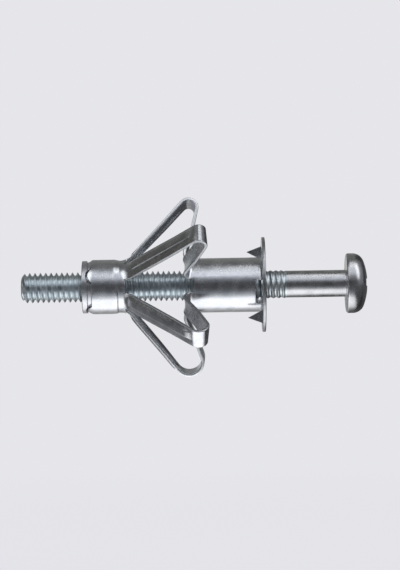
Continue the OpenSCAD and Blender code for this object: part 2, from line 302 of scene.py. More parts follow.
def makeRows():
    rows = []
    for zone, cells in zoneCells.items():
        rows += [(zone, k / cells) for k in range(cells)]
    rows.append(("flange", 1.0))
    return rows


def legLengths(shape):
    rise, back = radians(shape["rise"]), radians(90 + shape["lean"])
    fold, neckBend, barrelBend = shape["fold"], shape["bend"], sheet["barrelBend"]
    startX = neckBend * sin(rise)
    startR = neckRadius + neckBend * (1 - cos(rise))
    foldX = fold * (sin(rise) + sin(back))
    foldR = -fold * (cos(back) - cos(rise))
    footX = barrelBend * sin(back)
    footR = -barrelBend * (1 - cos(back))
    missX = sheet["barrelEnd"] - shape["start"] - startX - foldX - footX
    missR = midRadius - startR + foldR - footR
    # straight lengths that close the line between neck and barrel
    riseX, riseR, backX, backR = cos(rise), sin(rise), cos(back), -sin(back)
    det = riseX * backR - riseR * backX
    strut = (missX * backR - missR * backX) / det
    brace = (riseX * missR - riseR * missX) / det
    return [neckBend * rise, strut, fold * (rise + back), brace, barrelBend * back]


def walkLine(shape, lengths, s):
    # place along the axis, distance from it and direction, after s mm of the leg's line
    back = 90 + shape["lean"]
    bends = [radians(shape["rise"]), 0, -radians(shape["rise"] + back), 0, radians(back)]
    radii = [shape["bend"], 0, shape["fold"], 0, sheet["barrelBend"]]
    x, r, direction = shape["start"], neckRadius, 0.0
    for length, bend, radius in zip(lengths, bends, radii):
        part = min(1.0, max(0.0, s / length)) if s < length else 1.0
        if bend:
            turned = direction + bend * part
            sign = 1 if bend > 0 else -1
            x += sign * radius * (sin(turned) - sin(direction))
            r -= sign * radius * (cos(turned) - cos(direction))
            direction = turned
        else:
            x += length * part * cos(direction)
            r += length * part * sin(direction)
        s -= length
        if s <= 0:
            break
    if s > 0:
        x += s
    return x, r, direction


def sectionAt(zone, t):
    # how round the sheet still is across the leg, and how high its bead stands
    if zone == "strut":
        curl = blendBetween(1.0, sheet["strutCurl"], easeStep(*sheet["strutOpens"], t))
        curl -= sheet["strutFlatten"] * easeStep(*sheet["strutFlattens"], t)
        return curl, easeStep(*sheet["beadStarts"], t) * (1 - easeStep(*sheet["beadEnds"], t))
    if zone == "fold":
        return sheet["foldCurl"] * (1 - easeStep(*sheet["foldFlattens"], t)), 0.0
    if zone == "brace":
        return easeStep(*sheet["braceRounds"], t), 0.0
    return 1.0, 0.0


def legPoint(number, s, awayDeg, curl, bead):
    shape = sheet["legShapes"][number]
    x, r, direction = walkLine(shape, legLines[number], s)
    radius = blendBetween(neckRadius, midRadius, easeStep(0.0, sheet["neckGrow"], s))
    opened = min(1.0, max(0.0, (r - midRadius) / sheet["swayHeight"]))
    middle = sum(legLines[number]) / 2
    swell = sheet["legSwell"] * easeStep(0, middle / 2, middle - abs(s - middle))
    across = radius * radians(awayDeg) * (1 + swell)
    if curl > tiny:
        bow = radius / curl
        side, lift = bow * sin(across / bow), bow * (cos(across / bow) - 1)
    else:
        side, lift = across, 0.0
    beadFall = easeStep(sheet["beadTop"] / 2, sheet["beadWidth"] / 2, abs(across - sheet["beadPlace"]))
    lift += sheet["beadHeight"] * bead * (1 - beadFall)
    twist = radians(shape["twist"]) * opened
    twistCos, twistSin = cos(twist), sin(twist)
    side, lift = side * twistCos - lift * twistSin, side * twistSin + lift * twistCos
    return atTurn(x - lift * sin(direction), r + lift * cos(direction), side,
                  sheet["legTurns"][number] + shape["sway"] * opened)


def legZoneSpans(number):
    # start and end of each of the slit's zones along the leg's line
    lengths = legLines[number]
    total = sum(lengths)
    marks = [sheet["slitRoot"] - sheet["legShapes"][number]["start"], lengths[0] + lengths[1],
             sum(lengths[:3]), sum(lengths[:4]), total, total + sheet["slitBarrelReach"]]
    return dict(zip(slitZones, zip(marks, marks[1:])))


def tubePoint(x, r, turnDeg):
    return atTurn(x, r, 0, turnDeg)


def tongueShare(turnDeg, tongue, margin=0.0):
    # 0 on the tongue's middle, 1 at its side
    return midRadius * radians(turnApart(turnDeg, tongue)) / (sheet["tongueWidth"] / 2 + margin)


def tongueEdge(turnDeg):
    reach = 0.0
    for tongue in sheet["tongueTurns"]:
        share = abs(tongueShare(turnDeg, tongue))
        if share < 1:
            reach = sheet["tongueLength"] * (1 - share ** sheet["tongueRound"])
    return sheet["collarStart"] - reach


def warpTurn(turnDeg):
    # moves the nearest columns onto the sides of the windows and the hinges of the prongs
    for (a, targetA), (b, targetB) in zip(turnAnchors, turnAnchors[1:]):
        if a <= turnDeg <= b:
            return blendBetween(targetA, targetB, (turnDeg - a) / (b - a))
    return turnDeg


def collarRadius(x, turnDeg):
    # most of the collar ends in a crease, the upper front slopes into the neck instead
    fromSlope = abs(turnApart(turnDeg, sheet["slopeTurn"]))
    creaseShare = easeStep(sheet["slopeSpan"], sheet["slopeSpan"] + sheet["slopeFade"], fromSlope)
    end = sheet["collarEnd"]
    slope = min(1.0, max(0.0, (x - sheet["slopeFrom"]) / (sheet["slopeTo"] - sheet["slopeFrom"])))
    crease = easeStep(end, end + sheet["neckDip"], x)
    shoulder = easeStep(end - sheet["shoulderLength"], end, x)
    crease = blendBetween(sheet["shoulderDrop"] / (midRadius - neckRadius) * shoulder, 1.0, crease)
    return blendBetween(midRadius, neckRadius, blendBetween(slope, crease, creaseShare))


def neckPoint(t, turnDeg, number, arc):
    start = sheet["legShapes"][number]["start"]
    first = sheet["collarEnd"] + sheet["neckDip"] - start
    s = blendBetween(first, sheet["slitRoot"] - start - arc * sheet["slitRootDepth"] / slitHalf, t)
    if s <= 0:
        return tubePoint(start + s, collarRadius(start + s, turnDeg), turnDeg)
    return legPoint(number, s, turnApart(turnDeg, sheet["legTurns"][number]), 1.0, 0.0)


def slitZonePoint(zone, t, turnDeg, number):
    s = blendBetween(*legZones[number][zone], t)
    lengths = legLines[number]
    # the strut's section follows the whole straight, which starts before the slit does
    along = (s - lengths[0]) / lengths[1] if zone == "strut" else t
    curl, bead = sectionAt(zone, along)
    return legPoint(number, s, turnApart(turnDeg, sheet["legTurns"][number]), curl, bead)


def flangePoint(zone, t, turnDeg):
    bow = sheet["flareRadius"] + sheet["thickness"] / 2
    if zone == "flare":
        bent = t * pi / 2
        x = -sheet["flareRadius"] + bow * sin(bent)
        return tubePoint(x, midRadius + bow * (1 - cos(bent)), turnDeg)
    flatX, flatStart = bow - sheet["flareRadius"], midRadius + bow
    if zone == "sill":
        return tubePoint(flatX, blendBetween(flatStart, sheet["windowTop"], t), turnDeg)
    return tubePoint(flatX, blendBetween(sheet["windowTop"], sheet["flangeRadius"], t), turnDeg)


def sheetPoint(zone, t, column):
    turnDeg, number, slitOffset = column
    # the slit's two ends are round: how far this column reaches into them
    arc = 0.0 if slitOffset is None else sqrt(max(0.0, slitHalf ** 2 - slitOffset ** 2))
    if zone == "collar":
        x = blendBetween(tongueEdge(turnDeg), sheet["collarEnd"], t ** collarCrowding)
        dip = sheet["tongueDip"] * easeStep(*sheet["tongueDipX"], x)
        return tubePoint(x, collarRadius(x, turnDeg) - dip, turnDeg)
    if zone == "step":
        x = sheet["collarEnd"] + sheet["neckDip"] * t
        return tubePoint(x, collarRadius(x, turnDeg), turnDeg)
    if zone == "neck":
        return neckPoint(t, turnDeg, number, arc)
    if zone in slitZones:
        return slitZonePoint(zone, t, turnDeg, number)
    if zone == "root":
        slitEnd = sheet["barrelEnd"] + sheet["slitBarrelReach"] + arc * sheet["slitBarrelDepth"] / slitHalf
        return tubePoint(blendBetween(slitEnd, sheet["rootEnd"], t), midRadius, turnDeg)
    warped = warpTurn(turnDeg)
    if zone == "barrel":
        turned = blendBetween(turnDeg, warped, easeStep(sheet["windowSpread"], 1.0, t))
        return tubePoint(blendBetween(sheet["rootEnd"], sheet["windowStart"], t), midRadius, turned)
    if zone == "lip":
        return tubePoint(blendBetween(sheet["windowStart"], -sheet["flareRadius"], t), midRadius, warped)
    return flangePoint(zone, t, warped)


def nearestColumn(turnDeg):
    return min(range(len(columns) - 1), key=lambda k: abs(turnApart(columns[k][0], turnDeg)))


legLines = [legLengths(shape) for shape in sheet["legShapes"]]
legZones = [legZoneSpans(number) for number in range(len(legLines))]
columns = makeColumns()
rows = makeRows()

windowColumns = []
turnTargets = {nearestColumn(turn): turn for turn in sheet["prongTurns"]}
for middle in sheet["windowTurns"]:
    sides = [middle + side * sheet["windowSpan"] / 2 for side in (-1, 1)]
    windowColumns.append([nearestColumn(side) for side in sides])
    turnTargets.update(zip(windowColumns[-1], sides))
turnAnchors = sorted((columns[k][0], columns[k][0] + turnApart(target, columns[k][0]))
                     for k, target in turnTargets.items())
turnAnchors = [(a + wrap, b + wrap) for wrap in (-360, 0, 360) for a, b in turnAnchors]


def bendProng(bm, turn, zoneOf, squareOf):
    # cuts a pointed flap free in the flange and bends it back over its hinge
    out, along = atTurn(0, 1, 0, turn), atTurn(0, 0, 1, turn)
    foot, head, tip = sheet["prongFoot"], sheet["prongHead"], sheet["prongTip"]
    hinge, bend, margin = foot[1], sheet["prongBend"], sheet["prongMargin"]
    corners = (foot, head, tip)
    middle = tuple(sum(corner[k] for corner in corners) / 3 for k in (0, 1))

    def flat(co):
        return co.dot(out), co.dot(along)

    def near(face):
        q, t = flat(face.calc_center_median())
        beside = foot[0] - margin < q < head[0] + margin
        level = tip[1] - margin < t < hinge + sheet["hingeMargin"]
        clearOfRim = hypot(q, t) < sheet["flangeRadius"] - sheet["rimMargin"]
        return face[zoneOf] and beside and level and clearOfRim

    def sideOf(start, end, point):
        return (end[0] - start[0]) * (point[1] - start[1]) - (end[1] - start[1]) * (point[0] - start[0])

    def inside(point):
        pairs = zip(corners, corners[1:] + corners[:1])
        return all(sideOf(a, b, point) * sideOf(a, b, middle) > tiny for a, b in pairs)

    def nearFaces():
        return [f for f in bm.faces if near(f)]

    def flapFaces():
        return [f for f in nearFaces() if inside(flat(f.calc_center_median()))]

    def cutAlong(faces, planePoint, planeNormal):
        verts = list({v for f in faces for v in f.verts})
        edges = list({e for f in faces for e in f.edges})
        bmesh.ops.bisect_plane(bm, geom=verts + edges + faces, dist=weld, plane_co=planePoint,
                               plane_no=planeNormal)

    for start in (foot, head):
        edge = out * (tip[0] - start[0]) + along * (tip[1] - start[1])
        cutAlong(nearFaces(), out * start[0] + along * start[1], Vector((1, 0, 0)).cross(edge))
    cutAlong(nearFaces(), along * hinge, along)
    quarter = bend * pi / 2
    for k in range(sheet["prongRows"]):
        cutAlong(flapFaces(), along * (hinge - (k + 1) / sheet["prongRows"] * quarter), along)
    inFlap = set(flapFaces())
    cut = [e for e in bm.edges if len(e.link_faces) == 2 and sum(f in inFlap for f in e.link_faces) == 1
           and min(flat(v.co)[1] for v in e.verts) < hinge - tiny]
    bmesh.ops.split_edges(bm, edges=cut)
    flap = flapFaces()
    for face in nearFaces():
        for edge in face.edges:
            edge[squareOf] = int(edge.is_boundary)
    for vert in {v for f in flap for v in f.verts}:
        q, t = flat(vert.co)
        back = hinge - t
        if back < tiny:
            continue
        turned, over = min(back, quarter) / bend, max(0.0, back - quarter)
        sink = bend * (1 - cos(turned)) + over
        vert.co = out * q + along * (hinge - bend * sin(turned)) + Vector((vert.co.x - sink, 0, 0))
    return len(flap)


def makeSleeve():
    bm = bmesh.new()
    across, down = len(columns) - 1, len(rows) - 1
    bmesh.ops.create_grid(bm, x_segments=across, y_segments=down, size=1)
    columnLayer, rowLayer = bm.verts.layers.int.new("column"), bm.verts.layers.int.new("row")
    zoneLayer = bm.faces.layers.int.new("flatPart")
    uvLayer = bm.loops.layers.uv.new("sheet")
    for vert in bm.verts:
        vert[columnLayer] = round((vert.co.x + 1) / 2 * across)
        vert[rowLayer] = round((vert.co.y + 1) / 2 * down)
    doomed = []
    for face in bm.faces:
        column = min(v[columnLayer] for v in face.verts)
        zone = rows[min(v[rowLayer] for v in face.verts)][0]
        face[zoneLayer] = zone in ("sill", "flange")
        inSlit = column % cellsPerLeg >= legCells
        inWindow = any((column - a) % across < (b - a) % across for a, b in windowColumns)
        if (inSlit and zone in slitZones) or (inWindow and zone in windowZones):
            doomed.append(face)
        # these legs' cut edges take the edge finish with a painted highlight
        if zone in slitZones and column // cellsPerLeg in sheet["legsWithPaintedEdgeHighlight"]:
            face.material_index = 2
        for loop in face.loops:
            turn = columns[loop.vert[columnLayer]][0]
            loop[uvLayer].uv = (midRadius * radians(turn), loop.vert[rowLayer] * rowLength)
    bmesh.ops.delete(bm, geom=doomed, context="FACES")
    (wide, fine), shift = sheet["waverScales"], Vector(sheet["waverShift"])
    for vert in bm.verts:
        zone, t = rows[vert[rowLayer]]
        co = sheetPoint(zone, t, columns[vert[columnLayer]])
        # the sheet is never quite true, but it is stiff where it is creased or flat
        if zone not in ("step", "flange", "sill"):
            ripple = noise.noise(co * wide) + sheet["waverFine"] * noise.noise(co * fine + shift)
            co = co + Vector((0, co.y, co.z)).normalized() * ripple * sheet["waver"]
        vert.co = co
    bmesh.ops.remove_doubles(bm, verts=bm.verts, dist=weld)
    squareLayer = bm.edges.layers.int.new("square")
    for prongTurn in sheet["prongTurns"]:
        print("prong faces", bendProng(bm, prongTurn, zoneLayer, squareLayer))
    # cut edges are rounded, apart from those of the prongs
    roundLayer = bm.edges.layers.float.new("bevel_weight_edge")
    for edge in bm.edges:
        edge[roundLayer] = float(edge.is_boundary and not edge[squareLayer])
        edge.smooth = not (edge.is_boundary and edge[squareLayer])
    return bm


# faces wear the first or the third finish, and their cut edges the one after it; the fourth is the edge
# finish with a painted highlight
sheetFinishes = [sheetZinc, edgeZinc, sheetZinc, edgeZincWithPaintedHighlight]
sleeve = finishPiece(makeSleeve(), "sleeveSheet", sheetFinishes, "anchor", "sleeve", 0)
wall = sleeve.modifiers.new("wall", "SOLIDIFY")
wall.thickness = sheet["thickness"] * mm
wall.offset = 0.0
wall.material_offset_rim = 1
rounding = sleeve.modifiers.new("rounding", "BEVEL")
rounding.limit_method = "WEIGHT"
rounding.width = sheet["bevel"] * mm
rounding.segments = sheet["bevelRows"]
rounding.use_clamp_overlap = False


# The nut is turned about the axis: an end ring, a strip with four pockets for the tongues, and a body.
nut = {
    "end": -23.46, "front": -18.92, "ringRadius": 3.43, "ringChamfer": 0.1, "chamferRows": 3,
    "ringEnd": -22.74, "ringStep": 0.06, "linePlace": 0.03, "lineWidth": 0.07, "lineDepth": 0.14,
    "stripRadius": 3.27, "stripEnd": -22.2, "bodyRadius": 3.12, "bodyCorner": (0.05, 0.02),
    "boreRadius": 2.015, "boreChamfer": 0.3, "threadDepth": 0.26, "threadSpread": 0.42, "threadLead": 0.5,
    "pitch": 0.7, "pocketFloor": 2.6, "pocketAbove": 2.9, "pocketSide": 0.34, "pocketEnd": 0.24,
    "pocketFront": -0.05, "pocketEdge": (0.88, 1.06),
    "steps": 180, "boreRow": 0.07, "fineRow": 0.04, "coarseRow": 0.05, "coarseLength": 0.3,
}


def nutSide(x):
    # radius of ring and strip, with a fine turned line where they meet
    fall = easeStep(nut["ringEnd"] - nut["ringStep"], nut["ringEnd"], x)
    line = max(0.0, 1 - abs(x - nut["ringEnd"] - nut["linePlace"]) / nut["lineWidth"])
    return blendBetween(nut["ringRadius"], nut["stripRadius"], fall) - nut["lineDepth"] * line


def nutOutline():
    end, chamfer = nut["end"], nut["ringChamfer"]
    count = round((nut["front"] - end) / nut["boreRow"])
    outline = [(blendBetween(nut["front"], end, k / count), nut["boreRadius"]) for k in range(count + 1)]
    outline += [(end, nut["boreRadius"] + nut["boreChamfer"]), (end, nut["ringRadius"] - chamfer)]
    for k in range(nut["chamferRows"] + 1):
        phase = k / nut["chamferRows"] * pi / 2
        drop = chamfer * (1 - sin(phase))
        outline.append((end + chamfer * (1 - cos(phase)), nut["ringRadius"] - drop))
    x = end + chamfer + nut["fineRow"]
    while x < nut["stripEnd"]:
        outline.append((x, nutSide(x)))
        x += nut["fineRow" if x < nut["stripEnd"] - nut["coarseLength"] else "coarseRow"]
    corner, drop = nut["bodyCorner"]
    outline += [(nut["stripEnd"], nut["bodyRadius"] - drop), (nut["stripEnd"] + corner, nut["bodyRadius"])]
    outline.append((nut["front"], nut["bodyRadius"]))
    return outline


def nutThread(x, r, turn):
    phase = (x / nut["pitch"] + turn / 360) % 1
    groove = max(0.0, 1 - abs(phase - 0.5) / nut["threadSpread"])
    return r + nut["threadDepth"] * groove * easeStep(nut["end"], nut["end"] + nut["threadLead"], x)


def nutPocket(x, r, turn):
    depth = 0.0
    for tongue in sheet["tongueTurns"]:
        u = abs(tongueShare(turn, tongue, nut["pocketSide"]))
        v = (sheet["collarStart"] - x) / (sheet["tongueLength"] + nut["pocketEnd"])
        if v > nut["pocketFront"]:
            depth = max(depth, 1 - easeStep(*nut["pocketEdge"], u ** sheet["tongueRound"] + max(v, 0.0)))
    return min(r, blendBetween(r, nut["pocketFloor"], depth))


def makeNut():
    bm = turnedSolid(nutOutline(), nut["steps"], closed=True)
    for vert in bm.verts:
        x, r, turn = vert.co.x, hypot(vert.co.y, vert.co.z), turnOf(vert.co)
        if r < nut["boreRadius"] + tiny:
            fresh = nutThread(x, r, turn)
        elif r > nut["pocketAbove"]:
            fresh = nutPocket(x, r, turn)
        else:
            continue
        vert.co.y *= fresh / r
        vert.co.z *= fresh / r
    return bm


finishPiece(makeNut(), "captiveNut", [nutZinc], "anchor", "captive_nut", 50)


# The screw is two pieces that meet where the thread ends: a helical thread, then the shank with its head.
screw = {
    "pitch": 0.7, "crest": 1.975, "root": 1.55, "tip": -31.45, "tipRadius": 1.12, "tipRound": 1.1,
    "turnsBefore": 1.5, "threadPhase": -0.13, "threadEnd": 3.2, "threadLap": 0.02, "steps": 40,
    "turnWeld": 0.004,
    "runOut": (-1.8, 0.2), "runOutCrest": 1.835, "runOutRoot": 1.7, "lastTurn": 0.35, "lastCrest": 0.01,
    "shank": 1.752, "neckFillet": 0.1, "headUnder": 11.0, "headRadius": 3.91, "headHeight": 2.81,
    "underCorner": 0.3, "domeRadius": 8.5, "domeCorner": 1.5,
    "shankRows": 19, "filletRows": 4, "cornerRows": 8, "domeCornerRows": 10, "domeRows": 24, "headSteps": 112,
    "recessTurn": 4, "recessSpan": 4.6, "recessWidth": 1.05, "recessDepth": 1.9, "recessTaper": 0.66,
    "recessCone": 0.33, "recessOver": 0.5, "recessSides": 32,
}
# half of one thread, from the middle of its root to the top of its crest: shares of the pitch and the height
threadHalf = [(0.0, 0.0), (0.09, 0.02), (0.15, 0.12), (0.26, 0.42), (0.37, 0.74), (0.42, 0.88), (0.46, 0.97),
              (0.5, 1.0)]


def threadRadius(x, height):
    # the thread runs out flatter towards the shank, and its tip is rounded off
    fade = easeStep(*screw["runOut"], x)
    last = easeStep(screw["threadEnd"] - screw["lastTurn"], screw["threadEnd"], x)
    crest = blendBetween(screw["crest"], screw["runOutCrest"], fade)
    root = blendBetween(screw["root"], screw["runOutRoot"], fade)
    crest = blendBetween(crest, screw["shank"] + screw["lastCrest"], last)
    root = blendBetween(root, screw["shank"], last)
    rounded = screw["tipRadius"] + screw["tipRound"] * sqrt(max(0.0, x - screw["tip"]))
    return min(blendBetween(root, crest, height), rounded)


def makeThread():
    bm = bmesh.new()
    start = screw["tip"] - screw["turnsBefore"] * screw["pitch"] + screw["threadPhase"]
    shape = threadHalf + [(1 - share, height) for share, height in reversed(threadHalf[:-1])]
    verts = []
    for share, height in shape:
        radius = blendBetween(screw["root"], screw["crest"], height)
        verts.append(bm.verts.new((start + share * screw["pitch"], -radius, 0)))
    edges = [bm.edges.new(pair) for pair in zip(verts, verts[1:])]
    bmesh.ops.spin(bm, geom=verts + edges, steps=screw["steps"],
                   dvec=(screw["pitch"] / screw["steps"], 0, 0), **fullTurn)
    ribbon = bm.verts[:] + bm.edges[:] + bm.faces[:]
    turns = ceil((screw["threadEnd"] - start) / screw["pitch"]) + 1
    for k in range(1, turns):
        copied = bmesh.ops.duplicate(bm, geom=ribbon)["geom"]
        copiedVerts = [v for v in copied if isinstance(v, bmesh.types.BMVert)]
        bmesh.ops.translate(bm, verts=copiedVerts, vec=(k * screw["pitch"], 0, 0))
    bmesh.ops.remove_doubles(bm, verts=bm.verts, dist=screw["turnWeld"])
    for vert in bm.verts:
        x, r = vert.co.x, hypot(vert.co.y, vert.co.z)
        fresh = threadRadius(x, (r - screw["root"]) / (screw["crest"] - screw["root"]))
        vert.co.y *= fresh / r
        vert.co.z *= fresh / r
    # both ends are cut square and closed
    for place, side in ((screw["tip"], -1), (screw["threadEnd"] + screw["threadLap"], 1)):
        bmesh.ops.bisect_plane(bm, geom=bm.verts[:] + bm.edges[:] + bm.faces[:], dist=weld,
                               plane_co=(place, 0, 0), plane_no=(side, 0, 0), clear_outer=True)
        rim = [e for e in bm.edges if e.is_boundary and all(abs(v.co.x - place) < tiny for v in e.verts)]
        bmesh.ops.contextual_create(bm, geom=rim)
    bmesh.ops.recalc_face_normals(bm, faces=bm.faces)
    return bm


def arcPoints(centreX, centreR, radius, first, last, count):
    angles = [blendBetween(first, last, k / count) for k in range(count + 1)]
    return [(centreX + radius * cos(angle), centreR + radius * sin(angle)) for angle in angles]


def headOutline():
    right = pi / 2
    under, fillet, corner = screw["headUnder"], screw["neckFillet"], screw["underCorner"]
    shank = screw["shank"]
    points = [(screw["threadEnd"], 0.0)]
    for k in range(screw["shankRows"] + 1):
        points.append((blendBetween(screw["threadEnd"], under - fillet, k / screw["shankRows"]), shank))
    points += arcPoints(under - fillet, shank + fillet, fillet, -right, 0, screw["filletRows"])[1:]
    points += arcPoints(under + corner, screw["headRadius"] - corner, corner, pi, right,
                        screw["cornerRows"])
    # the dome and its rounded rim touch at the tangent
    domeX = under + screw["headHeight"] - screw["domeRadius"]
    cornerR = screw["headRadius"] - screw["domeCorner"]
    tangent = asin(cornerR / (screw["domeRadius"] - screw["domeCorner"]))
    cornerX = domeX + cos(tangent) * (screw["domeRadius"] - screw["domeCorner"])
    points += arcPoints(cornerX, cornerR, screw["domeCorner"], right, tangent, screw["domeCornerRows"])
    points += arcPoints(domeX, 0.0, screw["domeRadius"], tangent, 0, screw["domeRows"])[1:]
    return points


def makeRecess():
    # four tapered wings about a cone
    top, depth, over = screw["headUnder"] + screw["headHeight"], screw["recessDepth"], screw["recessOver"]
    floorR, topR = screw["recessWidth"] / 2, screw["recessSpan"] / 2
    slope = (topR - floorR) / depth
    bm = bmesh.new()
    for k in range(4):
        for vert in bmesh.ops.create_cube(bm, size=1)["verts"]:
            deep = vert.co.x < 0
            reach = floorR if deep else topR + over * slope
            width = screw["recessWidth"] * (screw["recessTaper"] if deep else 1.0)
            vert.co = atTurn(top - depth if deep else top + over, reach if vert.co.y < 0 else 0.0,
                             copysign(width / 2, vert.co.z), screw["recessTurn"] + 90 * k)
    cone = bmesh.ops.create_cone(bm, cap_ends=True, segments=screw["recessSides"],
                                 radius1=floorR, radius2=screw["recessSpan"] * screw["recessCone"],
                                 depth=depth + over)["verts"]
    bmesh.ops.rotate(bm, verts=cone, cent=(0, 0, 0), matrix=Matrix.Rotation(pi / 2, 3, "Y"))
    bmesh.ops.translate(bm, verts=cone, vec=(top - depth + (depth + over) / 2, 0, 0))
    bmesh.ops.recalc_face_normals(bm, faces=bm.faces)
    return bm


def cutRecess(bm):
    meshes = []
    for source in (bm, makeRecess()):
        mesh = bpy.data.meshes.new("working")
        source.to_mesh(mesh)
        source.free()
        meshes.append(mesh)
    solid, tool = (putInScene("working", mesh) for mesh in meshes)
    cut = solid.modifiers.new("recess", "BOOLEAN")
    cut.object = tool
    cut.operation = "DIFFERENCE"
    cut.solver = "EXACT"
    cut.use_self = True
    done = bmesh.new()
    done.from_object(solid, bpy.context.evaluated_depsgraph_get())
    for thing in (solid, tool):
        bpy.data.objects.remove(thing)
    return done


finishPiece(makeThread(), "screwThread", [threadZinc], "screw", "machine_screw", 60)
headSolid = cutRecess(turnedSolid(headOutline(), screw["headSteps"]))
finishPiece(headSolid, "screwHead", [shankZinc], "screw", None, 30)


# The camera sees a plain pale floor and room. Metal sees something else in their place: a ring of
# light and dark about the screw's axis, and a floor with lighter and darker parts.
stage = {
    "pale": "E6E6EA", "floorDrop": -40.0, "floorRadius": 3000.0, "floorSides": 96,
    "shadowShare": 0.3, "shadowReach": (60.0, 220.0),
    "poolMiddle": -12.0, "poolHalf": 29.0, "poolEdge": 4.0, "floorDark": 0.1,
    # painted light and shade that only metal sees: a lighter stretch like a lit table at the front left and a
    # little at the back left, and painted shade behind the screw's head
    "tableLevel": 0.85, "tableY": (-22.0, -45.0), "tableSlope": (0.24, 0.33), "tableWide": (1.0, 0.65),
    "tableFar": (420.0, 240.0), "leftLevel": 0.34, "leftY": (10.0, 48.0),
    "dimShare": 0.75, "dimX": (0.0, 8.0), "dimY": (-8.0, 14.0),
}
# The ring by the angle about the axis: 0 in front, 90 overhead, -90 straight below. Only metal sees it.
# Its levels were set band by band, to suit this object's highlights.
roomRing = [(-180, 0.70, "F2F2F0"), (-168, 0.62, "F2F2F0"), (-150, 0.32, "F2F2F0"), (-138, 0.36, "F2F2F0"),
            (-128, 0.49, "F4F4F4"), (-119, 0.65, "F4F4F4"), (-104, 0.95, "F4F4F6"), (-60, 1.00, "F4F4F6"),
            (-50, 0.82, "F0F2F6"), (-41, 0.55, "ECF0F6"), (-33, 0.32, "E8EEF6"), (-24, 0.15, "E6ECF4"),
            (-15, 0.07, "EAEEF4"), (-6, 0.045, "F4F6FA"), (8, 0.055, "F0F4FA"), (20, 0.14, "ECF0FA"),
            (30, 0.38, "ECF0FA"), (41, 0.67, "EEF2FC"), (52, 0.70, "F0F4FC"), (64, 0.50, "EEF2FA"),
            (77, 0.21, "EEF1F6"), (92, 0.11, "F4F5F4"), (135, 0.21, "F4F5EE"), (160, 0.25, "F0F2F2"),
            (172, 0.60, "F0F2F2"), (180, 0.70, "F2F2F0")]
# the ring's two open ends, and a dark stretch at the right behind, by parts of a direction from 0 to 1
roomSides = {"left": "4C4C48", "right": "7E8086", "from": 0.5, "to": 0.78,
             "dimShare": 0.85, "dimRight": (0.12, 0.3), "dimBack": (0.2, 0.5)}
pale = hexColor(stage["pale"])
black = [0.0, 0.0, 0.0, 1.0]
whole = (0.0, 1.0)
smooth = {"interpolation_type": "SMOOTHSTEP"}


def addRing(tree, back, up):
    front = addNode(tree, "ShaderNodeMath", {"operation": "MULTIPLY", 1: -1.0}, {0: back})
    angle = addNode(tree, "ShaderNodeMath", {"operation": "ARCTAN2"}, {0: up, 1: front.outputs[0]})
    share = addNode(tree, "ShaderNodeMapRange", {"From Min": -pi, "From Max": pi},
                    {"Value": angle.outputs[0]})
    ring = addNode(tree, "ShaderNodeValToRGB", None, {"Fac": share.outputs["Result"]})
    stops = ring.color_ramp.elements
    while len(stops) < len(roomRing):
        stops.new(0.5)
    for stop, (angleDeg, level, color) in zip(stops, roomRing):
        stop.position = (angleDeg + 180) / 360
        stop.color = [part * level for part in hexColor(color)[:3]] + [1.0]
    return ring


def inMm(places):
    return [place * mm for place in places]


